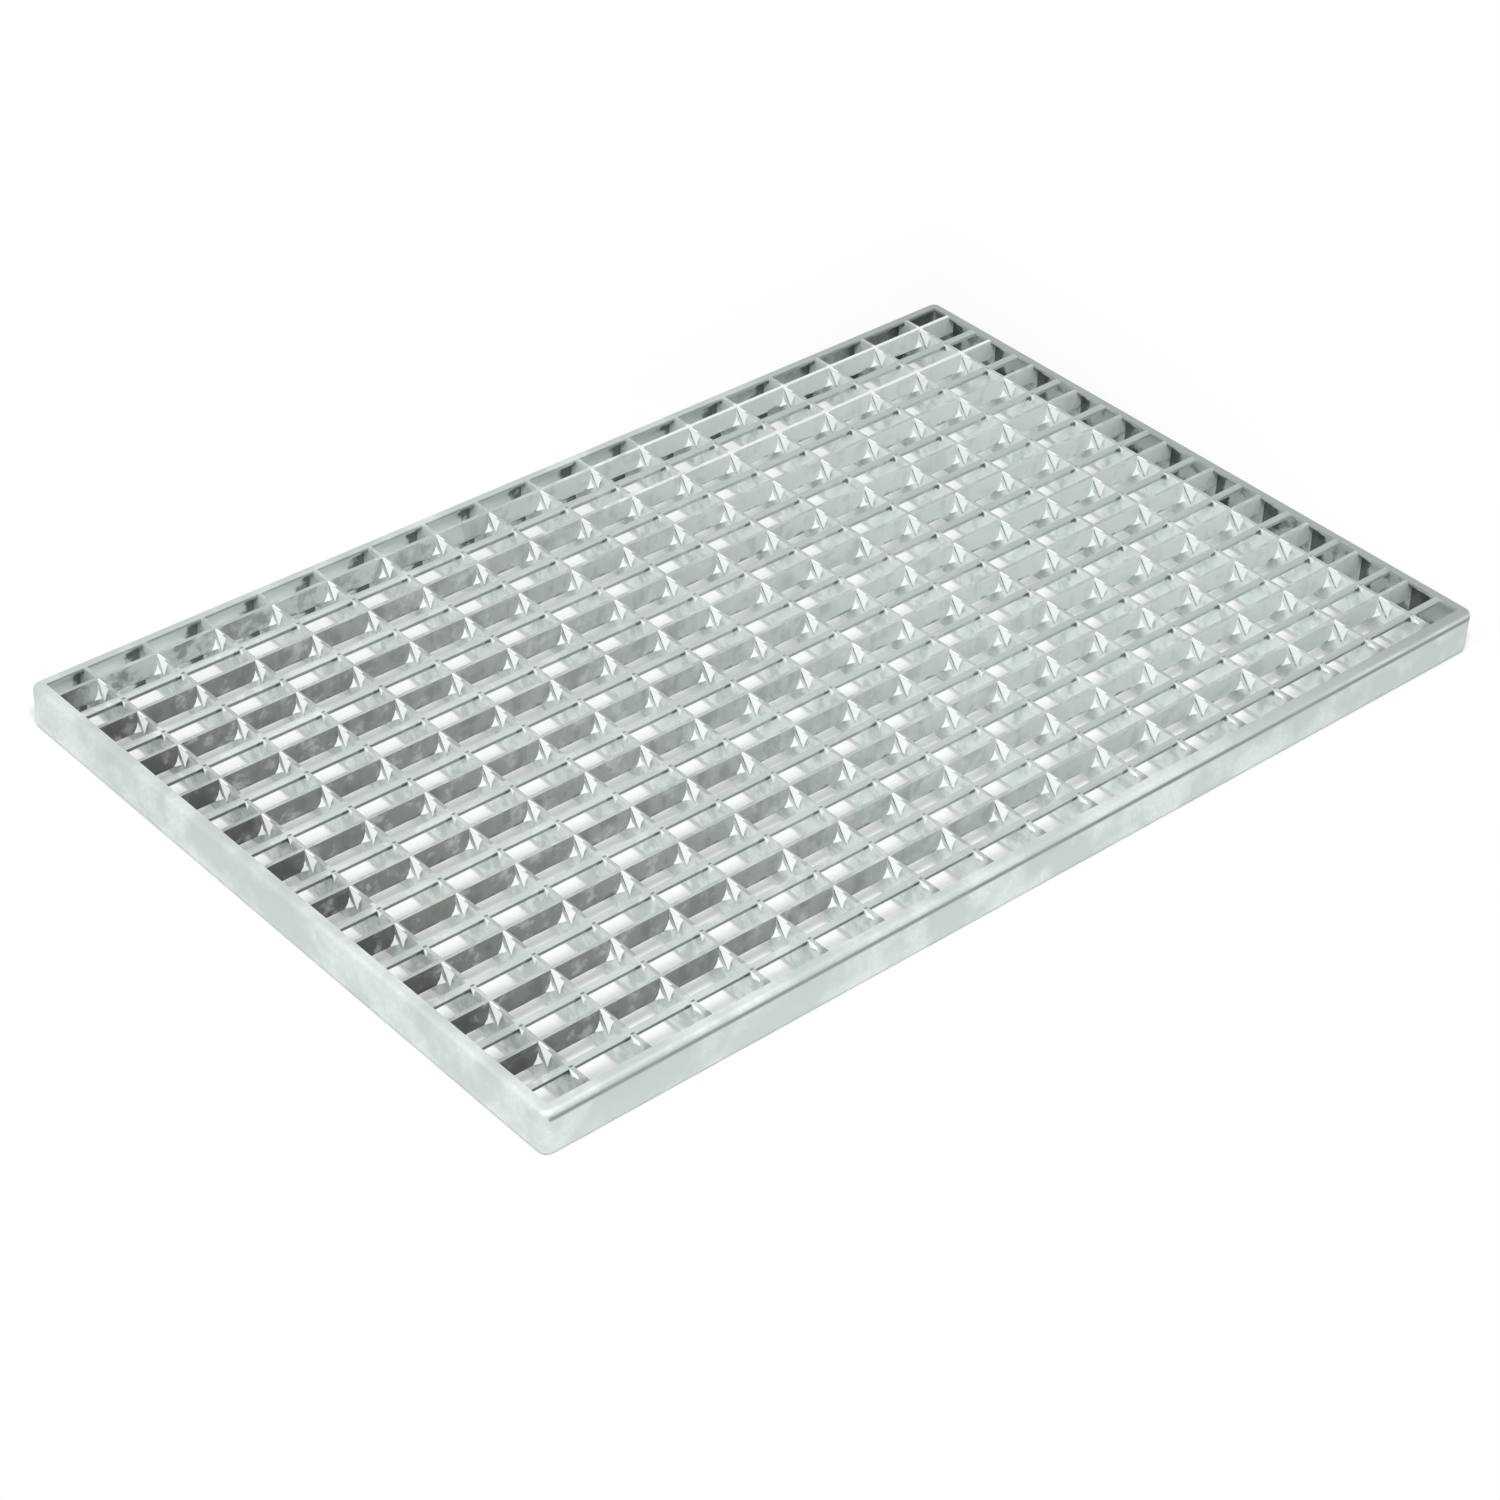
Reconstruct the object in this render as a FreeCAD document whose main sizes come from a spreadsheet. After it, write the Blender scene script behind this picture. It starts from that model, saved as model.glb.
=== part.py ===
import FreeCAD, Part
import math
import os
import Sketcher

# Mesh drain grate: a welded panel of flat bars inside a frame of folded edge channel, all galvanised steel.
# The origin is the middle of the underside, +X runs along the long side and +Z points up. Millimetres.

DIMENSIONS = {
    # edge channel
    "outer_length": 590,
    "outer_width": 390,
    "frame_height": 24,
    "sheet_thickness": 2,
    "flange_width": 6,
    "corner_radius": 5,
    "bend_radius": 3,
    "mitre_reach": 12,
    # bar grid: one pitch serves all three families of bars
    "bar_pitch": 33.4,
    "bar_thickness": 2,
    "bearing_count": 17,
    "bearing_depth": 20,
    "cross_count": 11,
    "cross_depth": 11.5,
    "rod_thickness": 4,
}
ROD_SIDES = 8

ORIGIN_POINT = (-1, 1)
START, END, CENTRE = 1, 2, 3

doc = FreeCAD.newDocument("mesh_drain_grate")
sheet = doc.addObject("Spreadsheet::Sheet", "Dimensions")
for row, (alias, number) in enumerate(DIMENSIONS.items(), start=1):
    sheet.set(f"A{row}", alias)
    sheet.set(f"B{row}", str(number))
    sheet.setAlias(f"B{row}", alias)
doc.recompute()


def expression(text):
    """Text of an expression in which every alias of the sheet is written in full."""
    words = []
    for word in text.split():
        words.append(f"Dimensions.{word}" if word in DIMENSIONS else word)
    return " ".join(words)


def bind(target, prop, text):
    target.setExpression(prop, expression(text))


def origin_feature(body, role):
    return next(item for item in body.Origin.OriginFeatures if item.Role == role)


def new_body(name):
    body = doc.addObject("PartDesign::Body", name)
    body.Label = name
    body.AllowCompound = True
    return body


def new_sketch(body, name, plane, offset="0"):
    """A sketch on one of the body's own planes, moved along the plane's normal."""
    sketch = body.newObject("Sketcher::SketchObject", name)
    sketch.AttachmentSupport = (origin_feature(body, plane), [""])
    sketch.MapMode = "FlatFace"
    bind(sketch, "AttachmentOffset.Base.z", offset)
    return sketch


def bound_constraint(sketch, kind, *values, size):
    """A dimension of the sketch that follows the sheet."""
    index = sketch.addConstraint(Sketcher.Constraint(kind, *values, 1.0))
    bind(sketch, f"Constraints[{index}]", size)


def closed_loop(sketch, count):
    for line in range(count):
        sketch.addConstraint(Sketcher.Constraint("Coincident", line, END, (line + 1) % count, START))


def rectangle(sketch, left, right, bottom, top):
    """A rectangle whose sides lie at stated distances from the sketch's origin."""
    corners = [(-1, 1), (1, 1), (1, 2), (-1, 2)]
    points = [FreeCAD.Vector(x, y, 0) for x, y in corners]
    for start, end in zip(points, points[1:] + points[:1]):
        sketch.addGeometry(Part.LineSegment(start, end))
    closed_loop(sketch, 4)
    for line in (0, 2):
        sketch.addConstraint(Sketcher.Constraint("Horizontal", line))
    for line in (1, 3):
        sketch.addConstraint(Sketcher.Constraint("Vertical", line))
    bound_constraint(sketch, "DistanceX", 0, START, *ORIGIN_POINT, size=left)
    bound_constraint(sketch, "DistanceX", *ORIGIN_POINT, 1, START, size=right)
    bound_constraint(sketch, "DistanceY", *ORIGIN_POINT, 0, START, size=bottom)
    bound_constraint(sketch, "DistanceY", *ORIGIN_POINT, 2, START, size=top)


def rounded_rectangle(sketch, inset):
    """The plan of the frame, moved inwards all round, with corners about the frame's own corner centres."""
    gap = sheet.get(inset) if inset in DIMENSIONS else 0.0
    half_x = sheet.get("outer_length") / 2 - gap
    half_y = sheet.get("outer_width") / 2 - gap
    radius = sheet.get("corner_radius") - gap
    quarter = math.pi / 2
    centres = [(1, -1), (1, 1), (-1, 1), (-1, -1)]
    arcs = []
    for turn, (side_x, side_y) in enumerate(centres):
        centre = FreeCAD.Vector(side_x * (half_x - radius), side_y * (half_y - radius), 0)
        circle = Part.Circle(centre, FreeCAD.Vector(0, 0, 1), radius)
        arcs.append(Part.ArcOfCircle(circle, (turn - 1) * quarter, turn * quarter))
    for turn, arc in enumerate(arcs):
        sketch.addGeometry(Part.LineSegment(arcs[turn - 1].EndPoint, arc.StartPoint))
        sketch.addGeometry(arc)
    for item in range(8):
        sketch.addConstraint(Sketcher.Constraint("Tangent", item, END, (item + 1) % 8, START))
    for line in (0, 4):
        sketch.addConstraint(Sketcher.Constraint("Horizontal", line))
    for line in (2, 6):
        sketch.addConstraint(Sketcher.Constraint("Vertical", line))
    for arc in (3, 5, 7):
        sketch.addConstraint(Sketcher.Constraint("Equal", 1, arc))
    sketch.addConstraint(Sketcher.Constraint("Symmetric", 1, CENTRE, 5, CENTRE, *ORIGIN_POINT))
    bound_constraint(sketch, "Radius", 1, size=f"corner_radius - {inset}")
    bound_constraint(sketch, "DistanceX", 6, START, 2, START, size=f"outer_length - 2 * {inset}")
    bound_constraint(sketch, "DistanceY", 0, START, 4, START, size=f"outer_width - 2 * {inset}")


def polygon(sketch, sides, across, centre_x, centre_y):
    """A regular polygon with its corners on a circle and one flat side on top."""
    radius = sheet.get(across) / 2 / math.cos(math.pi / sides)
    points = []
    for corner in range(sides):
        angle = math.pi / 2 + (2 * corner - 1) * math.pi / sides
        points.append(FreeCAD.Vector(radius * math.cos(angle), radius * math.sin(angle), 0))
    for start, end in zip(points, points[1:] + points[:1]):
        sketch.addGeometry(Part.LineSegment(start, end))
    circle = sketch.addGeometry(Part.Circle(FreeCAD.Vector(), FreeCAD.Vector(0, 0, 1), radius), True)
    closed_loop(sketch, sides)
    for line in range(sides):
        sketch.addConstraint(Sketcher.Constraint("PointOnObject", line, START, circle))
    for line in range(1, sides):
        sketch.addConstraint(Sketcher.Constraint("Equal", 0, line))
    sketch.addConstraint(Sketcher.Constraint("Horizontal", 0))
    bound_constraint(sketch, "Radius", circle, size=f"{across} / 2 / cos( 180 deg / {sides} )")
    bound_constraint(sketch, "DistanceX", circle, CENTRE, *ORIGIN_POINT, size=centre_x)
    bound_constraint(sketch, "DistanceY", *ORIGIN_POINT, circle, CENTRE, size=centre_y)


def pad(body, sketch, name, length, symmetric=False):
    feature = body.newObject("PartDesign::Pad", name)
    feature.Profile = sketch
    feature.SideType = "Symmetric" if symmetric else "One side"
    bind(feature, "Length", length)
    doc.recompute()
    return feature


def pocket(body, sketch, name, length):
    """A cut upwards from the sketch, which has to take material away."""
    before = body.Tip.Shape.Volume
    feature = body.newObject("PartDesign::Pocket", name)
    feature.Profile = sketch
    feature.Reversed = True
    bind(feature, "Length", length)
    doc.recompute()
    if not feature.Shape.Volume < before:
        raise RuntimeError(f"{name} cuts nothing")
    return feature


def repeat(body, features, name, axis, count):
    """The features again and again at the bar pitch; the last copy completes the row."""
    pattern = body.newObject("PartDesign::LinearPattern", name)
    pattern.Originals = features
    pattern.Direction = (origin_feature(body, axis), [""])
    pattern.Mode = "Extent"
    bind(pattern, "Length", f"( {count} - 1 ) * bar_pitch")
    bind(pattern, "Occurrences", count)
    body.Tip = pattern
    doc.recompute()
    return pattern


def edge_ring():
    """The whole edge channel before it is parted at the mitres: web outside, two flanges pointing inwards."""
    body = new_body("edge_ring")
    outline = new_sketch(body, "ring_outline", "XY_Plane")
    rounded_rectangle(outline, "0")
    block = pad(body, outline, "ring_block", "frame_height")
    rims = []
    for number, edge in enumerate(block.Shape.Edges, start=1):
        heights = {round(vertex.Z, 6) for vertex in edge.Vertexes}
        if len(heights) == 1:
            rims.append(f"Edge{number}")
    bends = body.newObject("PartDesign::Fillet", "ring_bends")
    bends.Base = (block, rims)
    bind(bends, "Radius", "bend_radius")
    doc.recompute()
    window = new_sketch(body, "ring_window", "XY_Plane")
    reach_x = "outer_length / 2 - flange_width"
    reach_y = "outer_width / 2 - flange_width"
    rectangle(window, reach_x, reach_x, f"-1 * ( {reach_y} )", reach_y)
    pocket(body, window, "ring_opening", "frame_height")
    inside = new_sketch(body, "ring_inside", "XY_Plane", "sheet_thickness")
    rounded_rectangle(inside, "sheet_thickness")
    pocket(body, inside, "ring_channel", "frame_height - 2 * sheet_thickness")
    return body


def edge_channel(ring, name, length, across, turn):
    """One side of the ring, kept by a wedge whose slanted ends are the two mitres."""
    wedge = doc.addObject("Part::Wedge", f"{name}_mitres")
    bind(wedge, "Ymin", "-1 * mitre_reach")
    bind(wedge, "Ymax", "mitre_reach")
    bind(wedge, "Xmin", f"-1 * {length} / 2 - mitre_reach")
    bind(wedge, "Xmax", f"{length} / 2 + mitre_reach")
    bind(wedge, "X2min", f"-1 * {length} / 2 + mitre_reach")
    bind(wedge, "X2max", f"{length} / 2 - mitre_reach")
    for low in ("Zmin", "Z2min"):
        bind(wedge, low, "-1 * mitre_reach")
    for high in ("Zmax", "Z2max"):
        bind(wedge, high, "frame_height + mitre_reach")
    # the wedge points inwards, from the middle of its own side
    outward = FreeCAD.Rotation(FreeCAD.Vector(0, 0, 1), turn).multVec(FreeCAD.Vector(0, -1, 0))
    wedge.Placement = FreeCAD.Placement(FreeCAD.Vector(), FreeCAD.Rotation(FreeCAD.Vector(0, 0, 1), turn))
    bind(wedge, "Placement.Base.x", f"{round(outward.x)} * {across} / 2")
    bind(wedge, "Placement.Base.y", f"{round(outward.y)} * {across} / 2")
    side = doc.addObject("Part::Common", name)
    side.Label = name
    side.Base = ring
    side.Tool = wedge
    doc.recompute()
    return side


def flat_bars(body, name, plane, axis, span, depth, count, first):
    """A row of flat bars on edge: a tongue into the channel, and above it a top edge between the flanges."""
    half = f"{span} / 2"
    tongue = new_sketch(body, f"{name}_tongue_outline", plane, first)
    reach = f"{half} - sheet_thickness"
    rectangle(tongue, reach, reach, f"frame_height - {depth}", "frame_height - sheet_thickness")
    lower = pad(body, tongue, f"{name}_tongue", "bar_thickness", symmetric=True)
    top_edge = new_sketch(body, f"{name}_top_outline", plane, first)
    reach = f"{half} - flange_width"
    rectangle(top_edge, reach, reach, "frame_height - sheet_thickness", "frame_height")
    upper = pad(body, top_edge, f"{name}_top", "bar_thickness", symmetric=True)
    return repeat(body, [lower, upper], f"{name}_row", axis, count)


def filler_rods(body):
    """Rods between the cross bars, a quarter of a pitch in front of each row's middle and flush on top."""
    start = new_sketch(body, "filler_outline", "YZ_Plane", "-1 * ( outer_length / 2 - flange_width )")
    polygon(
        start, ROD_SIDES, "rod_thickness",
        "( cross_count - 1 ) / 2 * bar_pitch + bar_pitch / 4",
        "frame_height - rod_thickness / 2",
    )
    rod = pad(body, start, "filler_rod", "outer_length - 2 * flange_width")
    return repeat(body, [rod], "filler_row", "Y_Axis", "cross_count")


def bar_grid():
    body = new_body("bar_grid")
    flat_bars(
        body, "bearing_bar", "YZ_Plane", "X_Axis", "outer_width", "bearing_depth", "bearing_count",
        "-1 * ( bearing_count - 1 ) / 2 * bar_pitch",
    )
    # the sketch plane's normal points to -Y, so the first cross bar's place is written with its sign turned
    flat_bars(
        body, "cross_bar", "XZ_Plane", "Y_Axis", "outer_length", "cross_depth", "cross_count",
        "( cross_count - 1 ) / 2 * bar_pitch - bar_pitch / 3",
    )
    filler_rods(body)
    return body


ring = edge_ring()
parts = [
    edge_channel(ring, "edge_channel_front", "outer_length", "outer_width", 0),
    edge_channel(ring, "edge_channel_right", "outer_width", "outer_length", 90),
    edge_channel(ring, "edge_channel_back", "outer_length", "outer_width", 180),
    edge_channel(ring, "edge_channel_left", "outer_width", "outer_length", 270),
    bar_grid(),
]
doc.recompute()

for item in doc.Objects:
    if "Invalid" in item.State or "Error" in item.State:
        raise RuntimeError(f"{item.Label} failed: {item.State}")
for part in parts:
    if part.Shape.isNull() or not part.Shape.isValid() or len(part.Shape.Solids) != 1:
        raise RuntimeError(f"{part.Label} is not one valid solid")

os.makedirs("parts", exist_ok=True)
for part in parts:
    box = part.Shape.BoundBox
    part.Shape.exportStep(f"parts/{part.Label}.step")
    print(
        f"{part.Label}: {box.XLength:.1f} x {box.YLength:.1f} x {box.ZLength:.1f} mm,"
        f" from ({box.XMin:.1f}, {box.YMin:.1f}, {box.ZMin:.1f}), {part.Shape.Volume / 1000:.1f} cm3"
    )
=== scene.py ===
# %% [markdown]
# # A mesh drain grate in hot-dip galvanised steel
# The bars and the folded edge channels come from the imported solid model, which is the fixed frame of this
# scene. What a dip in molten zinc leaves behind is added here: wings and slivers of zinc in the corners
# where bars cross, drops at the bars' front ends, and the mottled, slightly greenish finish. Lengths are
# in metres, +Z is up.

# %% Load the frame
import math

import bpy
from mathutils import Matrix, Vector


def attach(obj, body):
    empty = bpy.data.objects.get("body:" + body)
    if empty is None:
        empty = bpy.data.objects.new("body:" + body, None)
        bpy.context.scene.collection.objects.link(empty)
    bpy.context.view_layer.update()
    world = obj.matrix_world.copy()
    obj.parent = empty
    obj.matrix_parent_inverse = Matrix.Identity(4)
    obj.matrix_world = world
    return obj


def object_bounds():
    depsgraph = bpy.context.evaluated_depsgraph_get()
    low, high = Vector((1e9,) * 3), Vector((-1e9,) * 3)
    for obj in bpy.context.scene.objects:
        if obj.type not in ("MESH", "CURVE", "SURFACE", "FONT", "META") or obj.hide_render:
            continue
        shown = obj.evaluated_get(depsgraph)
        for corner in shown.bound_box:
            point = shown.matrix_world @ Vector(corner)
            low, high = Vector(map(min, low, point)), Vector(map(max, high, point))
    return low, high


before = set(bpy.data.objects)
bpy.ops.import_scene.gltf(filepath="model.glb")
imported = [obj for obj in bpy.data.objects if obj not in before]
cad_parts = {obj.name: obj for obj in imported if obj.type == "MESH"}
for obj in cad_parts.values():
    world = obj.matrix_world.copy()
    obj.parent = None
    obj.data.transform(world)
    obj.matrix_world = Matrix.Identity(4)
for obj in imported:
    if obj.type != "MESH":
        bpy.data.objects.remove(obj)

scene = bpy.context.scene
scene.view_settings.view_transform = "Standard"
bounds_of_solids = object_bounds()
print("solids reach", [[round(value, 4) for value in corner] for corner in bounds_of_solids])

# %% [markdown]
# The grate repeats on one pitch both ways. Deep bearing bars run across the short way, shallower cross
# bars run the long way a third of a pitch behind each row's middle, and thin filler rods run a quarter in
# front of it. Everything added later sits on these lines, so they are worked out once.

# %% The lines that the bars lie on
MM = 0.001
PITCH = 33.4 * MM
BEARING_BARS = 17
ROWS = 11
BAR_THICKNESS = 2 * MM

(LEFT, FRONT, FLOOR), (RIGHT, BACK, TOP) = bounds_of_solids
FIRST_BEARING_X = -PITCH * (BEARING_BARS - 1) / 2
FIRST_ROW_Y = -PITCH * (ROWS - 1) / 2
FIRST_CROSS_Y = FIRST_ROW_Y + PITCH / 3
FIRST_ROD_Y = FIRST_ROW_Y - PITCH / 4
print("first bearing bar at x", round(FIRST_BEARING_X, 4), "first cross bar at y", round(FIRST_CROSS_Y, 4))


# %% [markdown]
# Small pieces are modelled once as a person would at the screen, with the mesh operators, and an Array
# modifier then repeats them along the bars. These helpers start from a clean selection, repeat a piece,
# and settle a finished one: its place goes into its mesh, and it rides the one rigid body.

# %% Helpers for modelling
SAME_PLACE = 0.01 * MM
SMOOTH_ANGLE = math.radians(30)


def start_clean():
    if bpy.context.object and bpy.context.object.mode != "OBJECT":
        bpy.ops.object.mode_set(mode="OBJECT")
    bpy.ops.object.select_all(action="DESELECT")


def pick_vertex(piece, place):
    """Select in edit mode the vertex at the given place."""
    bpy.ops.object.mode_set(mode="EDIT")
    bpy.ops.mesh.select_mode(type="VERT")
    bpy.ops.mesh.select_all(action="DESELECT")
    bpy.ops.object.mode_set(mode="OBJECT")
    for vertex in piece.data.vertices:
        vertex.select = (vertex.co - place).length < SAME_PLACE
    bpy.ops.object.mode_set(mode="EDIT")


def repeat_along(piece, step, count):
    modifier = piece.modifiers.new("repeat", "ARRAY")
    modifier.count = count
    modifier.use_relative_offset = False
    modifier.use_constant_offset = True
    modifier.constant_offset_displace = step
    bpy.ops.object.modifier_apply(modifier=modifier.name)


def settle(piece, name):
    piece.name = name
    bpy.ops.object.mode_set(mode="OBJECT")
    bpy.ops.object.transform_apply(location=True, rotation=True, scale=True)
    bpy.ops.object.shade_smooth_by_angle(angle=SMOOTH_ANGLE)
    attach(piece, "root")
    print(name, "has", len(piece.data.polygons), "faces")


# %% [markdown]
# The grate hangs by one corner when it is lifted from the bath, so zinc runs to the low corner of every
# cell, where a cross bar meets a bearing bar. It sets there in two thin skins: a wing on the bearing
# bar's face, under its top edge, and a sliver low in the corner itself. A smaller wing sits in front of
# each rod. Sculpting hundreds of them is no use at this size, so each is a three-sided cone whose four
# points are dragged into place. Its edges are then divided, and the middles of its free edges are drawn
# in, as they are on a skin of liquid metal.

# %% Zinc wings and slivers in the cells' corners
SKIN_BELOW_TOP = 0.2 * MM
CONE_RADIUS = 2 * MM
CONE_HEIGHT = 4 * MM
ROD_THICKNESS = 4 * MM
WING = [(0, 0, 0), (0, -9.4, -0.2), (0, -5.4, -8.2), (-2.1, -8.9, -6.6)]
WING_HOLLOW = {(1, 3): 0.12, (1, 2): 0.2}
ROD_WING = [(0, 0, 0), (0, -3.6, 0), (0, -1.8, -3.6), (-0.9, -3.4, -2.9)]
ROD_WING_HOLLOW = {(1, 3): 0.3, (1, 2): 0.2}
SLIVER = [(0, 0, -5.6), (0, 0, -11.3), (0, -3.4, -9.0), (-2.6, 0, -11.1)]
SLIVER_HOLLOW = {(0, 2): 0.15, (0, 3): 0.25}


def drag_point(piece, start, end):
    pick_vertex(piece, start)
    bpy.ops.transform.translate(value=end - start)
    bpy.ops.object.mode_set(mode="OBJECT")


def zinc_skin(name, corner, shape, hollow_edges):
    """A four-pointed skin in a corner, hollow along the stated edges, repeated in every cell."""
    points = [corner + Vector(place) * MM for place in shape]
    start_clean()
    bpy.ops.mesh.primitive_cone_add(vertices=3, radius1=CONE_RADIUS, depth=CONE_HEIGHT)
    skin = bpy.context.object
    for start, end in zip([vertex.co.copy() for vertex in skin.data.vertices], points):
        drag_point(skin, start, end)
    bpy.ops.object.mode_set(mode="EDIT")
    bpy.ops.mesh.select_all(action="SELECT")
    bpy.ops.mesh.subdivide(number_cuts=1)
    middle_of_skin = sum(points, Vector()) / len(points)
    for (first, second), hollow in hollow_edges.items():
        middle = (points[first] + points[second]) / 2
        drag_point(skin, middle, middle.lerp(middle_of_skin, hollow))
    bpy.ops.object.mode_set(mode="EDIT")
    bpy.ops.mesh.select_all(action="SELECT")
    bpy.ops.mesh.normals_make_consistent(inside=False)
    bpy.ops.object.mode_set(mode="OBJECT")
    repeat_along(skin, (PITCH, 0, 0), BEARING_BARS)
    repeat_along(skin, (0, PITCH, 0), ROWS)
    settle(skin, name)
    return skin


left_face_x = FIRST_BEARING_X - BAR_THICKNESS / 2
skin_z = TOP - SKIN_BELOW_TOP
cross_corner = Vector((left_face_x, FIRST_CROSS_Y - BAR_THICKNESS / 2, skin_z))
rod_corner = Vector((left_face_x, FIRST_ROD_Y - ROD_THICKNESS / 2, skin_z))
wings = zinc_skin("zinc_wings", cross_corner, WING, WING_HOLLOW)
slivers = zinc_skin("zinc_slivers", cross_corner, SLIVER, SLIVER_HOLLOW)
rod_wings = zinc_skin("zinc_rod_wings", rod_corner, ROD_WING, ROD_WING_HOLLOW)

# %% [markdown]
# A last drop of zinc sets at the front end of each bearing bar, between the first rod and the channel's
# flange. A coarse sphere is flattened, drawn out along the bar and pulled to a tip at its lower front, as
# a drop would hang.

# %% Zinc drops at the bars' front ends
DROP_RADIUS = 1.6 * MM
DROP_STRETCH = (1.0, 1.5, 0.75)
DROP_PLACE = Vector((FIRST_BEARING_X - 0.4 * MM, FIRST_ROD_Y - 6.0 * MM, TOP - 1.8 * MM))
DROP_TIP = Vector((0, -1.2, -0.8)) * MM


def zinc_drops():
    start_clean()
    bpy.ops.mesh.primitive_uv_sphere_add(
        segments=8, ring_count=6, radius=DROP_RADIUS, location=DROP_PLACE)
    bpy.ops.object.transform_apply(location=True, rotation=True, scale=True)
    drop = bpy.context.object
    bpy.ops.object.mode_set(mode="EDIT")
    bpy.ops.mesh.select_all(action="SELECT")
    bpy.ops.transform.resize(value=DROP_STRETCH, center_override=DROP_PLACE)
    bpy.ops.object.mode_set(mode="OBJECT")
    tip = min((vertex.co.copy() for vertex in drop.data.vertices), key=lambda place: place.y)
    drag_point(drop, tip, tip + DROP_TIP)
    repeat_along(drop, (PITCH, 0, 0), BEARING_BARS)
    settle(drop, "zinc_drops")
    return drop


drops = zinc_drops()

# %% [markdown]
# Galvanised steel is a bright, rough metal with a faint green cast. Its tone changes in soft clouds a few
# centimetres wide, with fine grain inside them. Shader maths reads best as plain expressions, so a small
# class wraps a socket and turns arithmetic into Math nodes.

# %% A socket that takes arithmetic
class Wire:
    """A socket in a node tree. Arithmetic on it adds Math nodes."""

    def __init__(self, tree, socket):
        self.tree = tree
        self.socket = socket

    def math(self, operation, *values):
        return Tree.node_in(self.tree, "ShaderNodeMath", {"operation": operation}, dict(enumerate(values)))

    def __add__(self, other):
        return self.math("ADD", self, other)

    def __sub__(self, other):
        return self.math("SUBTRACT", self, other)

    def __rsub__(self, other):
        return self.math("SUBTRACT", other, self)

    def __mul__(self, other):
        return self.math("MULTIPLY", self, other)

    def __truediv__(self, other):
        return self.math("DIVIDE", self, other)

    __radd__ = __add__
    __rmul__ = __mul__

    def size(self):
        return self.math("ABSOLUTE", self)

    def at_least(self, low):
        return self.math("MAXIMUM", self, low)

    def at_most(self, high):
        return self.math("MINIMUM", self, high)

    def between(self, low, high):
        """0 below low, 1 above high, with a soft step between them."""
        return Tree.node_in(
            self.tree, "ShaderNodeMapRange", {"interpolation_type": "SMOOTHSTEP"},
            {"Value": self, "From Min": low, "From Max": high})

    def past_line(self, first, pitch):
        """Distance past the last of the lines at first, first + pitch and so on."""
        return self.math("FRACT", (self - first) / pitch) * pitch

    def off_line(self, first, pitch):
        """Distance from the nearest of the lines at first, first + pitch and so on."""
        return (self.past_line(first - pitch / 2, pitch) - pitch / 2).size()


# %% [markdown]
# A second class holds the nodes of one material. One method makes any node, and short ones stand for
# those that the finishes need: a blend of two colours, the place and facing of the surface, a length, and
# noise.

# %% The nodes of a material
class Tree:
    """The nodes of one material."""

    def __init__(self, material):
        material.use_nodes = True
        self.tree = material.node_tree
        self.shader = self.tree.nodes["Principled BSDF"]

    @staticmethod
    def node_in(tree, kind, settings, sockets, output=0):
        node = tree.nodes.new(kind)
        for name, value in settings.items():
            setattr(node, name, value)
        for name, value in sockets.items():
            if isinstance(value, Wire):
                tree.links.new(value.socket, node.inputs[name])
            else:
                node.inputs[name].default_value = value
        return Wire(tree, node.outputs[output])

    def node(self, kind, settings=None, sockets=None, output=0):
        return self.node_in(self.tree, kind, settings or {}, sockets or {}, output)

    def blend(self, factor, first, second):
        colour_factor, colour_a, colour_b, colour_result = 0, 6, 7, 2
        return self.node(
            "ShaderNodeMix", {"data_type": "RGBA"},
            {colour_factor: factor, colour_a: first, colour_b: second}, colour_result)

    def place(self):
        object_coordinates = 3
        return self.node("ShaderNodeTexCoord", output=object_coordinates)

    def facing(self):
        normal = 1
        return self.parts(self.node("ShaderNodeTexCoord", output=normal))

    def parts(self, vector):
        return [self.node("ShaderNodeSeparateXYZ", {}, {0: vector}, axis) for axis in range(3)]

    def length(self, first, second):
        arrow = self.node("ShaderNodeCombineXYZ", {}, {0: first, 1: second})
        return self.node("ShaderNodeVectorMath", {"operation": "LENGTH"}, {0: arrow}, 1)

    def noise(self, place, scale, detail=2.0, roughness=0.5):
        return self.node(
            "ShaderNodeTexNoise", {},
            {"Vector": place, "Scale": scale, "Detail": detail, "Roughness": roughness})

    def finish(self, **wires):
        for name, wire in wires.items():
            self.tree.links.new(wire.socket, self.shader.inputs[name.replace("_", " ")])


def colour(red, green, blue):
    return (red, green, blue, 1.0)


# %% [markdown]
# The plain finish is pale zinc with soft clouds of duller metal, and brighter grain inside the clouds.
# The bars leave their marks at set places, so two more helpers measure how far a place lies from the next
# bar.

# %% Plain zinc, and distances from the bars
ZINC_PALE = colour(0.642, 0.70, 0.672)
ZINC_DULL = colour(0.532, 0.59, 0.562)
ZINC_BRIGHT = colour(0.742, 0.785, 0.762)
CLOUD_SCALE = 28.0
GRAIN_SCALE = 420.0
MOTTLE_SCALE = 110.0
BUMP_DISTANCE = 0.4 * MM
FINE_BUMP = 0.12


def zinc_tone(tree, place):
    clouds = tree.noise(place, CLOUD_SCALE, 3.0, 0.55)
    grain = tree.noise(place, GRAIN_SCALE, 2.0)
    tone = tree.blend(clouds.between(0.42, 0.62), ZINC_DULL, ZINC_PALE)
    tone = tree.blend((grain * clouds).between(0.26, 0.42) * 0.5, tone, ZINC_BRIGHT)
    return tone, clouds, grain


def left_of_bearing(along):
    """How far a place lies to the left of the next bearing bar."""
    return (0 - along).past_line(BAR_THICKNESS / 2 - FIRST_BEARING_X, PITCH)


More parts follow.
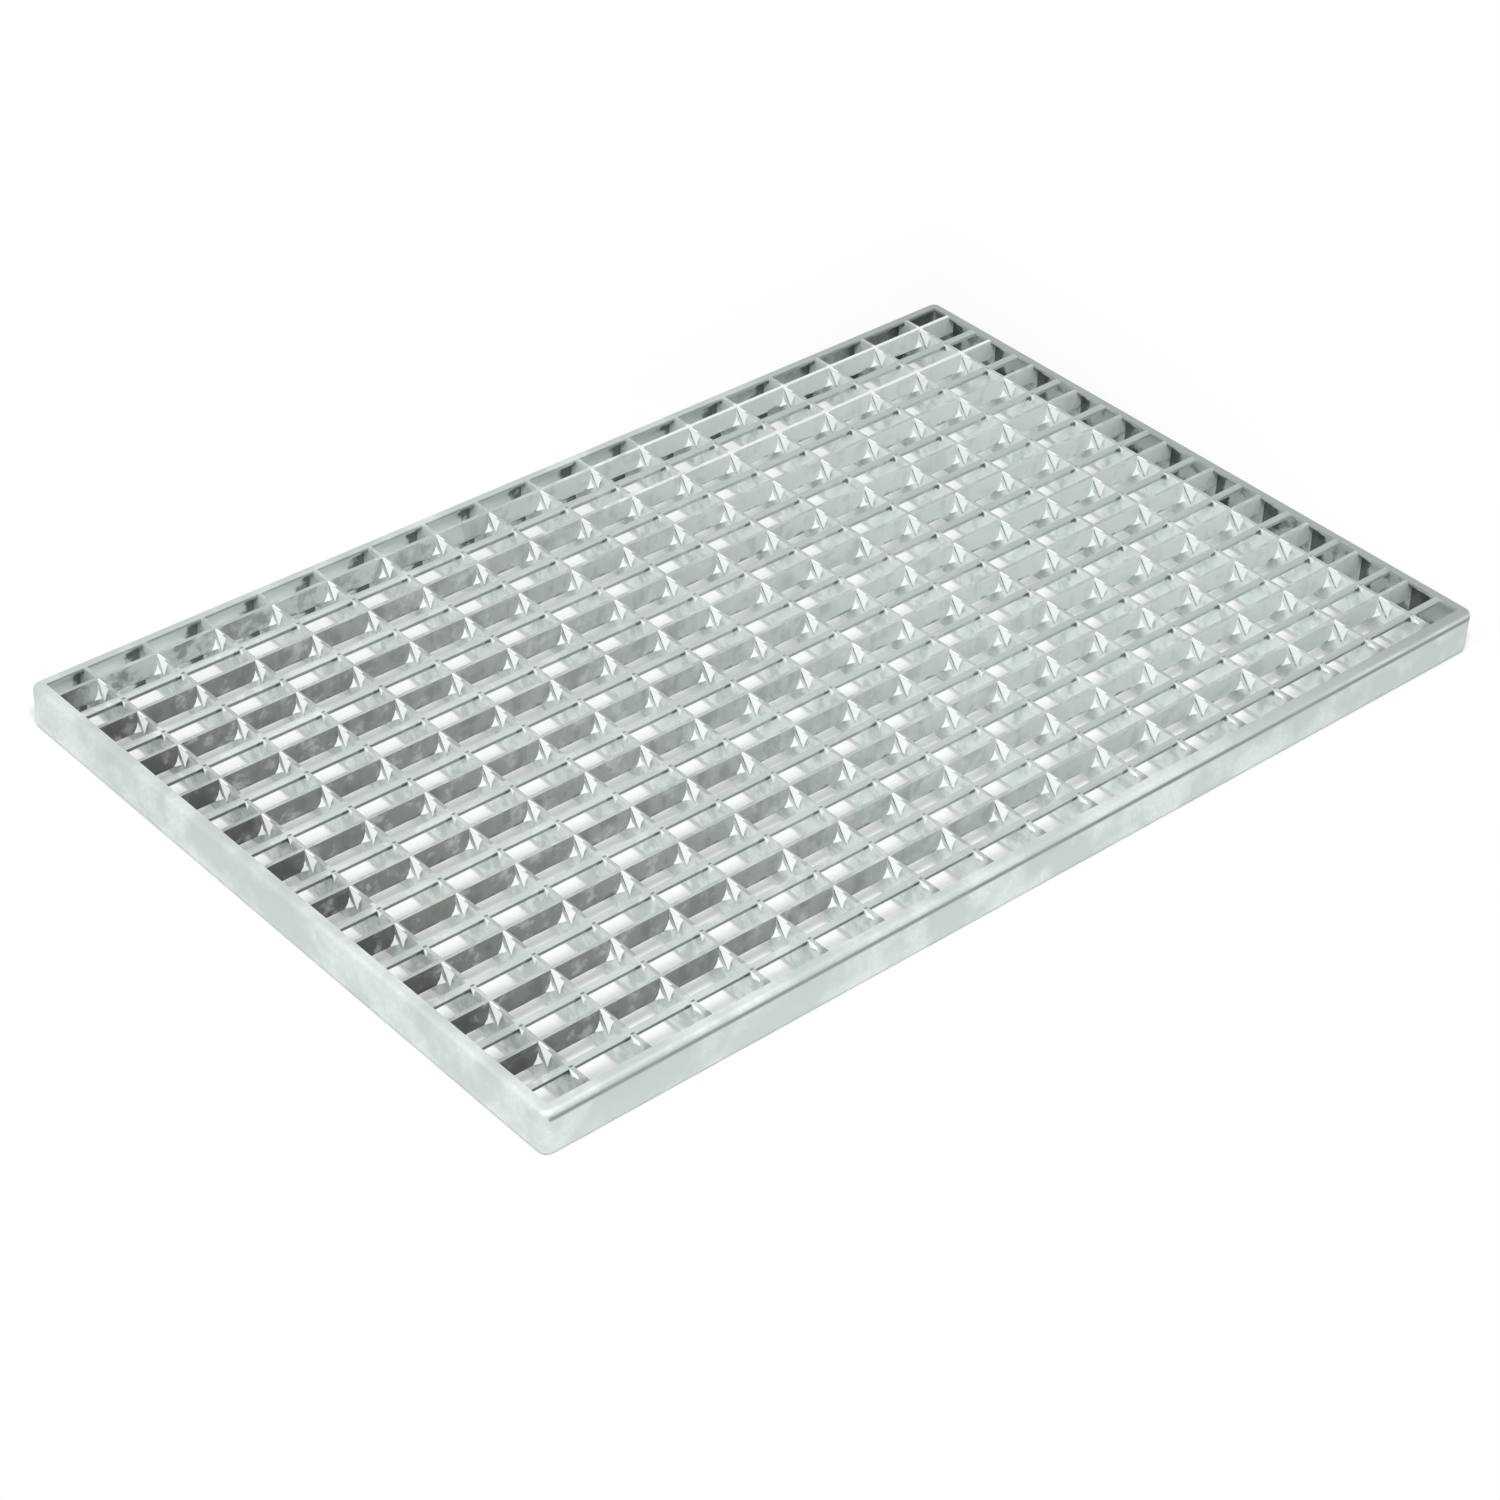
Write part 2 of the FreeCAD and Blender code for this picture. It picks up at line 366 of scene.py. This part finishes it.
def ahead_of_cross(across):
    """How far a place lies in front of the last cross bar."""
    return (0 - across).past_line(BAR_THICKNESS / 2 - FIRST_CROSS_Y, PITCH)


def bump(tree, grain, strength):
    return tree.node(
        "ShaderNodeBump", {}, {"Strength": strength, "Distance": BUMP_DISTANCE, "Height": grain})


# %% [markdown]
# Inside a channel, behind the bars' ends, the zinc is grey, with painted shade in pockets in the corners
# beside the bars. On the long sides it carries painted light toward the left and painted shade that darkens
# toward the right end. On the short sides it is blotched with painted shade.

# %% Painted light and shade inside the channels
INSIDE_GREY = colour(0.585, 0.64, 0.614)
# The pale inside colour is painted light and the dark one is painted shade.
INSIDE_PAINTED_LIGHT = colour(0.86, 0.925, 0.90)
INSIDE_PAINTED_SHADE = colour(0.035, 0.045, 0.042)
LIT_UNTIL_X = (-0.2, 0.2)
DARKENS_X = (0.13, 0.30)


def inside_channel_light_and_shade(tree, place, on_long_side):
    along, across, _ = tree.parts(place)
    patches = tree.noise(place, MOTTLE_SCALE, 3.0)
    # Painted shade in the corners beside the bars and toward the right end, and painted light toward the
    # left.
    beside_bearing = 1 - (left_of_bearing(along) + 24 * MM * (patches - 0.5)).between(4 * MM, 9 * MM)
    beside_cross = 1 - (ahead_of_cross(across) + 20 * MM * (patches - 0.5)).between(6 * MM, 10 * MM)
    shade_pocket = beside_cross + on_long_side * (beside_bearing - beside_cross)
    shade_to_right = (along + 0.25 * (patches - 0.5)).between(*DARKENS_X)
    shade_blotches = (1 - patches.between(0.38, 0.48)) * (0.5 - 0.5 * on_long_side)
    tone = tree.blend(on_long_side * (1 - along.between(*LIT_UNTIL_X)), INSIDE_GREY, INSIDE_PAINTED_LIGHT)
    tone = tree.blend(shade_pocket * 0.8, tone, INSIDE_PAINTED_SHADE)
    tone = tree.blend(shade_to_right * on_long_side * 0.7, tone, INSIDE_PAINTED_SHADE)
    return tree.blend(shade_blotches, tone, INSIDE_PAINTED_SHADE)


# %% [markdown]
# Outside, the channels show the plain finish. The lower end of the bend on the two long sides carries a
# thin dark line of painted reflection. The right end is darker on top. All of these are masks on distances
# from the channel's own faces.

# %% Finish of the edge channels
# The bend's colour below is a painted dark reflection.
BEND_PAINTED_REFLECTION = colour(0.22, 0.245, 0.235)
END_TOP_DARKER = colour(0.365, 0.41, 0.39)
ZINC_METALLIC = 0.75
CORNER_RADIUS = 5 * MM
SHEET = 2 * MM
DARKER_TOP_X = (0.08, 0.31)


def channel_finish():
    material = bpy.data.materials.new("galvanised_channel")
    tree = Tree(material)
    place = tree.place()
    facing_up = tree.facing()[2]
    along, across, height = tree.parts(place)
    tone, clouds, grain = zinc_tone(tree, place)
    from_end = RIGHT - along.size()
    from_side = BACK - across.size()
    from_top = TOP - height
    inset = CORNER_RADIUS - tree.length(
        (CORNER_RADIUS - from_end).at_least(0), (CORNER_RADIUS - from_side).at_least(0))
    inside = inset.between(SHEET - 0.8 * MM, SHEET - 0.2 * MM) * from_top.between(0.6 * MM, SHEET)
    on_long_side = (from_end - from_side).between(-1 * MM, 1 * MM)
    # A thin dark line of painted reflection along the lower end of the bend.
    on_bend = 1 - from_side.between(0.4 * MM, 0.9 * MM)
    on_bend *= from_top.between(1.4 * MM, 3.0 * MM) * (1 - from_top.between(3.6 * MM, 5.2 * MM))
    right_end_top = facing_up.between(0.5, 0.9) * (along + 0.05 * clouds).between(*DARKER_TOP_X)
    tone = tree.blend(right_end_top, tone, END_TOP_DARKER)
    tone = tree.blend(on_bend * (0.6 + 0.6 * clouds), tone, BEND_PAINTED_REFLECTION)
    tree.finish(
        Base_Color=tree.blend(inside, tone, inside_channel_light_and_shade(tree, place, on_long_side)),
        Roughness=0.42 + clouds * 0.16,
        Normal=bump(tree, grain, FINE_BUMP))
    tree.shader.inputs["Metallic"].default_value = ZINC_METALLIC
    return material


galvanised_channel = channel_finish()
print("made", galvanised_channel.name)

# %% [markdown]
# The bars carry more marks than the channels. Each is found from the way the surface faces and from the
# bars' own lines, so those measures are gathered once. A soft ramp from the left end to the right end sets
# how strongly the painted shade and painted light on the bars are laid on.

# %% Where a place lies on the bars
FACING = (0.6, 0.9)
STREAK_SCALE = 160.0
STREAK_STRETCH = (1, 1, 0.15)
RIGHTWARD_X = (-0.34, 0.19)


class BarPlace:
    """A place on the bar grid: its noise, its distances from the bars' lines and its surface."""

    def __init__(self, tree):
        place = tree.place()
        facing_x, facing_y, facing_z = tree.facing()
        self.along, self.across, height = tree.parts(place)
        self.from_top = TOP - height
        self.plain, self.clouds, self.grain = zinc_tone(tree, place)
        drawn_down = tree.node(
            "ShaderNodeVectorMath", {"operation": "MULTIPLY"}, {0: place, 1: STREAK_STRETCH})
        self.streaks = tree.noise(drawn_down, STREAK_SCALE, 3.0)
        self.mottle = tree.noise(place, MOTTLE_SCALE, 4.0, 0.6)
        # A ramp from the left end to the right end that weights the painted shade and light below.
        blurred_along = self.along + 0.06 * (self.clouds - 0.5) + 0.05 * (self.streaks - 0.5)
        self.rightward = blurred_along.between(*RIGHTWARD_X)
        self.left = left_of_bearing(self.along)
        self.ahead = ahead_of_cross(self.across)
        self.near_cross = 1 - self.across.off_line(FIRST_CROSS_Y, PITCH).between(1.5 * MM, 2.5 * MM)
        self.near_rod = 1 - self.across.off_line(FIRST_ROD_Y, PITCH).between(2.5 * MM, 3.5 * MM)
        self.on_top = facing_z.between(*FACING)
        self.left_face = (0 - facing_x).between(*FACING)
        self.bearing_face = facing_x.size().between(*FACING)
        self.cross_side = facing_y.size().between(*FACING) * self.near_cross
        self.rod_side = facing_y.size().between(0.8, 0.95) * self.near_rod
        self.rod_top = facing_z.between(0.3, 0.6) * self.near_rod


# %% [markdown]
# The flat sides of the cross bars carry painted shade, a grey-brown that is darkest toward the left end,
# with faint darker runs down them, and they are flecked with painted shade along their lower edge. On the
# last one at the back the painted shade is paler in patches. The bearing bars' faces are painted lighter,
# as lit faces, with a painted highlight along the top and a little painted shade under the cross bars.

# %% Painted light and shade on the bars' sides
# The bearing faces' colours are painted light; the side, rod and darkest colours are painted shade.
BEARING_LIT_PALE = colour(0.862, 0.93, 0.902)
BEARING_LIT_DULL = colour(0.662, 0.73, 0.702)
SIDE_SHADE_DARK = colour(0.225, 0.232, 0.215)
SIDE_SHADE_LIGHT = colour(0.722, 0.77, 0.742)
ROD_SHADE_AND_RUN_DARK = colour(0.15, 0.17, 0.16)
SHADE_DARK = colour(0.08, 0.09, 0.085)
# A white for gathered zinc, also laid on as painted highlights.
WHITE_ZINC_AND_HIGHLIGHT = colour(0.95, 0.965, 0.955)
CROSS_DEPTH = 11.5 * MM
LAST_ROW_Y = FIRST_CROSS_Y + PITCH * (ROWS - 1.5)


def cross_side_shade(tree, at):
    # Painted shade on the cross bars' flat sides: strongest at the left, paler in patches on the last one,
    # flecked along the lower edge.
    tone = tree.blend(at.rightward, SIDE_SHADE_DARK, SIDE_SHADE_LIGHT)
    tone = tree.blend(at.mottle.between(0.52, 0.7) * 0.45, tone, ZINC_BRIGHT)
    runs = 0.6 * at.mottle + 0.4 * at.streaks
    tone = tree.blend((1 - runs.between(0.38, 0.5)) * (0.42 - 0.3 * at.rightward), tone, ROD_SHADE_AND_RUN_DARK)
    last_row = at.across.between(LAST_ROW_Y - MM, LAST_ROW_Y + MM)
    patches = (0.5 * at.clouds + 0.5 * at.mottle).between(0.44, 0.54)
    tone = tree.blend(last_row * (0.15 + 0.65 * patches), tone, ZINC_PALE)
    low_edge = at.from_top + 8 * MM * (at.streaks - 0.5)
    shade_flecks = low_edge.between(CROSS_DEPTH - 1 * MM, CROSS_DEPTH + 1 * MM)
    return tree.blend(shade_flecks * 0.6, tone, SHADE_DARK)


def bearing_face_light_and_shade(tree, at):
    # Painted light on the bearing bars' faces, with a painted highlight along their top and painted shade
    # under the cross bars.
    tone = tree.blend((at.mottle + 0.09 * at.rightward).between(0.42, 0.62), BEARING_LIT_DULL, BEARING_LIT_PALE)
    tone = tree.blend((1 - at.from_top.between(2 * MM, 4 * MM)) * 0.5, tone, WHITE_ZINC_AND_HIGHLIGHT)
    from_cross = at.across.off_line(FIRST_CROSS_Y, PITCH) + 8 * MM * (at.mottle - 0.5)
    shade_under_cross = 1 - from_cross.between(MM, 9 * MM)
    shade_under_cross *= at.from_top.between(CROSS_DEPTH - 2 * MM, CROSS_DEPTH + 3 * MM)
    return tree.blend(shade_under_cross * at.rightward * 0.4, tone, SHADE_DARK)


# %% [markdown]
# The tops of the bars carry painted shade, broken in patches, and on the left more of it behind each rod.
# They are white on the left half of a bearing bar where a wing sits, and carry a painted highlight along
# the last two cross bars from the middle to the right. The rods' sloping upper faces carry painted shade,
# more toward the right.

# %% Painted shade and highlights on the bars' tops
# The rod and top colours are painted shade; the bright rows are a painted highlight.
ROD_SLOPE_SHADE = colour(0.41, 0.46, 0.44)
TOP_SHADE = colour(0.27, 0.295, 0.28)
WING_LENGTH = 8.2 * MM
HIGHLIGHT_ROWS_Y = LAST_ROW_Y - PITCH
HIGHLIGHT_FROM_X = (-0.02, 0.08)


def mark_tops(tree, at, tone):
    # Painted shade on the tops and on the rods' sloping faces, and a painted highlight along the last two
    # cross bars.
    behind_rod = 1 - at.ahead.between(14 * MM, 18 * MM)
    shade_on_top = 0.25 + 0.3 * at.mottle.between(0.44, 0.6) + 0.35 * behind_rod * (1 - 0.8 * at.rightward)
    shade_on_top *= at.on_top * (1 - at.near_rod)
    left_half = at.left.between(PITCH - 1.2 * MM, PITCH - 0.8 * MM)
    by_wing = at.on_top * left_half * at.left.between(PITCH / 2, PITCH / 2 + MM)
    by_wing *= 1 - (at.ahead + 2 * MM * at.grain).between(WING_LENGTH - 2 * MM, WING_LENGTH)
    highlight_rows = at.on_top * at.near_cross * at.across.between(HIGHLIGHT_ROWS_Y - MM, HIGHLIGHT_ROWS_Y + MM)
    highlight_rows *= (at.along + 0.3 * (at.mottle - 0.5)).between(*HIGHLIGHT_FROM_X)
    tone = tree.blend(at.rod_top * (0.2 + 0.7 * at.rightward), tone, ROD_SLOPE_SHADE)
    tone = tree.blend(shade_on_top, tone, TOP_SHADE)
    tone = tree.blend(by_wing, tone, WHITE_ZINC_AND_HIGHLIGHT)
    return tree.blend(highlight_rows * 0.7, tone, WHITE_ZINC_AND_HIGHLIGHT)


# %% [markdown]
# Painted shade comes last. The rods' fronts carry it, a line of it crosses the bearing bars' tops in line
# with them, and a small spot of it sits on each bearing bar's left face just under a rod's front. A line of
# painted shade runs down the crease beside each wing. The bars' left and front ends carry painted shade
# too.

# %% Painted shade on the bars
# The spot sizes below place painted shade under the rods.
SHADE_SPOT_RADIUS = 2.0 * MM
SHADE_SPOT_AHEAD = 1.6 * MM
SHADE_SPOT_DEPTH = 2.6 * MM
CREASE_SLOPE = 6.1 / 8.0
BAR_END_Y = FRONT + 7 * MM
ROD_FRONT_Y = FIRST_ROD_Y - ROD_THICKNESS / 2


def shade_spots_and_creases(tree, at):
    # Painted shade: a line down the crease beside each wing and a spot under the front of each rod.
    past_crease = CREASE_SLOPE * at.from_top - at.ahead
    crease = past_crease.between(0, 0.3 * MM) * (1 - past_crease.between(0.9 * MM, 1.5 * MM))
    crease *= at.from_top.between(1.2 * MM, 2.4 * MM) * (1 - at.from_top.between(8 * MM, 10 * MM))
    crease *= at.left_face
    to_shade_spot = tree.length(at.across.off_line(FIRST_ROD_Y - SHADE_SPOT_AHEAD, PITCH), at.from_top - SHADE_SPOT_DEPTH)
    shade_spot = 1 - (to_shade_spot + MM * (at.grain - 0.5)).between(SHADE_SPOT_RADIUS * 0.5, SHADE_SPOT_RADIUS)
    shade_spot *= (1 - at.left.between(2.5 * MM, 4 * MM)) * (1 - at.on_top)
    return shade_spot * 0.75 + crease


def paint_shade(tree, at, tone):
    # Painted shade along the rods' fronts, across the bearing tops in line with them, at the bars' left and
    # front ends, and in the spots and creases.
    on_bearing = 1 - at.along.off_line(FIRST_BEARING_X, PITCH).between(1.0 * MM, 1.3 * MM)
    from_rod_front = at.across.off_line(ROD_FRONT_Y, PITCH)
    rod_shade_line = at.on_top * on_bearing * (1 - from_rod_front.between(0.3 * MM, 0.8 * MM))
    left_end_shade = 1 - (at.along + 40 * MM * (at.mottle - 0.5)).between(LEFT + 14 * MM, LEFT + 30 * MM)
    front_end_shade = 1 - at.across.between(BAR_END_Y, BAR_END_Y + 4 * MM)
    tone = tree.blend(at.rod_side * (0.65 - 0.55 * at.rightward), tone, ROD_SHADE_AND_RUN_DARK)
    tone = tree.blend(rod_shade_line * (0.8 - 0.4 * at.rightward), tone, SHADE_DARK)
    tone = tree.blend(left_end_shade * (0.25 + 0.35 * at.cross_side), tone, SHADE_DARK)
    return tree.blend((shade_spots_and_creases(tree, at) + front_end_shade * 0.5).at_most(0.9), tone, SHADE_DARK)


# %% [markdown]
# The layers are laid over the plain finish in order: bearing faces, tops, cross bars' sides, and then the
# painted shade.

# %% Finish of the bar grid
BAR_METALLIC = 0.5


def grid_finish():
    material = bpy.data.materials.new("galvanised_bars")
    tree = Tree(material)
    at = BarPlace(tree)
    tone = tree.blend(at.mottle.between(0.54, 0.7) * 0.5, at.plain, WHITE_ZINC_AND_HIGHLIGHT)
    tone = tree.blend(at.bearing_face, tone, bearing_face_light_and_shade(tree, at))
    tone = mark_tops(tree, at, tone)
    tone = tree.blend(at.cross_side, tone, cross_side_shade(tree, at))
    tree.finish(
        Base_Color=paint_shade(tree, at, tone),
        Roughness=0.4 + at.clouds * 0.16 + at.cross_side * 0.25,
        Normal=bump(tree, at.grain, FINE_BUMP))
    tree.shader.inputs["Metallic"].default_value = BAR_METALLIC
    return material


galvanised_bars = grid_finish()
print("made", galvanised_bars.name)

# %% [markdown]
# The zinc that gathers in wings, slivers and drops is thick and matt, so it is paler than the bars. It is
# whitest toward the left end.

# %% Finish of the gathered zinc
GATHERED_DULL = colour(0.77, 0.80, 0.785)
GATHERED_GRAIN_SCALE = 300.0
GATHERED_DULLS_X = (-0.20, 0.34)
GATHERED_BUMP = 0.2


def gathered_finish():
    material = bpy.data.materials.new("gathered_zinc")
    tree = Tree(material)
    place = tree.place()
    along = tree.parts(place)[0]
    grain = tree.noise(place, GATHERED_GRAIN_SCALE, 2.0)
    dulled = (along + 0.2 * (grain - 0.5)).between(*GATHERED_DULLS_X)
    tree.finish(
        Base_Color=tree.blend(dulled, WHITE_ZINC_AND_HIGHLIGHT, GATHERED_DULL),
        Roughness=0.35 + grain * 0.15,
        Normal=bump(tree, grain, GATHERED_BUMP))
    return material


gathered_zinc = gathered_finish()
print("made", gathered_zinc.name)


# %% [markdown]
# Each solid and each added piece now takes its finish in place of what it came with.

# %% Dress the solids and the pieces
def dress(piece, material):
    piece.data.materials.clear()
    piece.data.materials.append(material)


for name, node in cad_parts.items():
    dress(node, galvanised_bars if name == "bar_grid" else galvanised_channel)
for piece in (wings, slivers, rod_wings, drops):
    dress(piece, gathered_zinc)
print("dressed", len(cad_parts), "solids and the added pieces")

# %% [markdown]
# The stage is a wide white floor under a white world. Camera, glossy and transmission rays see the world
# as plain white. They see the floor with some white mixed in, all white far off and least under the
# grate, so the background is white without more light on the steel, and the floor still takes a soft
# shadow.

# %% Floor
FLOOR_SPAN = 12.0
FLOOR_WHITE = 0.9
GLOW_UNDER_GRATE = 0.2
GLOW_WIDENS_OVER = 0.12


def seen_directly(tree):
    """1 for camera, glossy and transmission rays, 0 for the rays that carry light."""
    camera_ray, glossy_ray, transmission_ray = 0, 3, 6
    camera, glossy, transmission = [
        Tree.node_in(tree, "ShaderNodeLightPath", {}, {}, ray)
        for ray in (camera_ray, glossy_ray, transmission_ray)]
    return camera.at_least(glossy.at_least(transmission))


def white_floor():
    start_clean()
    bpy.ops.mesh.primitive_plane_add(size=FLOOR_SPAN, location=(0, 0, FLOOR))
    floor = bpy.context.object
    floor.name = "floor"
    material = bpy.data.materials.new("white_floor")
    tree = Tree(material)
    tree.shader.inputs["Base Color"].default_value = colour(FLOOR_WHITE, FLOOR_WHITE, FLOOR_WHITE)
    tree.shader.inputs["Roughness"].default_value = 1.0
    tree.shader.inputs["Specular IOR Level"].default_value = 0.0
    glow = tree.node("ShaderNodeEmission", {}, {"Color": colour(1, 1, 1), "Strength": 1.0})
    along, across, _ = tree.parts(tree.place())
    outside = (along.size() - RIGHT).at_least(across.size() - BACK)
    share = GLOW_UNDER_GRATE + (1 - GLOW_UNDER_GRATE) * outside.between(0, GLOW_WIDENS_OVER)
    mixed = tree.node(
        "ShaderNodeMixShader", {},
        {0: seen_directly(tree.tree) * share, 1: Wire(tree.tree, tree.shader.outputs[0]), 2: glow})
    tree.tree.links.new(mixed.socket, tree.tree.nodes["Material Output"].inputs["Surface"])
    floor.data.materials.append(material)


white_floor()
print("floor lies at", round(FLOOR, 4))

# %% [markdown]
# The world lights the steel from all round at a moderate level. A small lamp high at the left front picks
# out the wings and the tops, and a large weak one fills from the left. Each is given by its place, its
# width in metres and its power in watts, and points at the middle of the grate.

# %% World and lamps
WORLD_LEVEL = 0.62
LAMPS = {"lamp_left": ((-1.7, 0.0, 1.2), 1.2, 5), "lamp_front": ((-0.7, -0.9, 1.9), 0.6, 31)}


def white_world(strength):
    world = bpy.data.worlds.new("white_world")
    scene.world = world
    world.use_nodes = True
    background = world.node_tree.nodes["Background"]
    background.inputs["Color"].default_value = colour(1, 1, 1)
    level = strength + (1 - strength) * seen_directly(world.node_tree)
    world.node_tree.links.new(level.socket, background.inputs["Strength"])


def soft_lamp(name, place, size, power):
    start_clean()
    bpy.ops.object.light_add(type="AREA", location=place)
    lamp = bpy.context.object
    lamp.name = name
    lamp.rotation_euler = (-Vector(place)).to_track_quat("-Z", "Y").to_euler()
    lamp.data.size = size
    lamp.data.energy = power


white_world(WORLD_LEVEL)
for name, (place, size, power) in LAMPS.items():
    soft_lamp(name, place, size, power)
print("stage is set with", len(LAMPS), "lamps")

# %% [markdown]
# The camera repeats the photograph's view: from the left front corner, a little over a third of the way
# up to straight above, with a slight roll. Its distance and lens were fitted to the four corners of the
# grate's top.

# %% Camera
CAMERA_AZIMUTH = math.radians(-42.62)
CAMERA_ELEVATION = math.radians(36.57)
CAMERA_ROLL = math.radians(2.43)
CAMERA_DISTANCE = 1713.6 * MM
CAMERA_TARGET = Vector((-63.3 * MM, -57.6 * MM, TOP))
CAMERA_LENS = 88.35
CAMERA_SENSOR = 36.0


def photograph_camera():
    start_clean()
    toward_camera = Vector((
        math.sin(CAMERA_AZIMUTH) * math.cos(CAMERA_ELEVATION),
        -math.cos(CAMERA_AZIMUTH) * math.cos(CAMERA_ELEVATION),
        math.sin(CAMERA_ELEVATION)))
    bpy.ops.object.camera_add(location=CAMERA_TARGET + CAMERA_DISTANCE * toward_camera)
    camera = bpy.context.object
    level = (-toward_camera).to_track_quat("-Z", "Y").to_matrix()
    camera.rotation_euler = (level @ Matrix.Rotation(CAMERA_ROLL, 3, "Z")).to_euler()
    camera.data.lens = CAMERA_LENS
    camera.data.sensor_width = CAMERA_SENSOR
    camera.data.sensor_fit = "HORIZONTAL"
    scene.camera = camera
    return camera


camera = photograph_camera()
print("camera stands at", [round(value, 3) for value in camera.location])
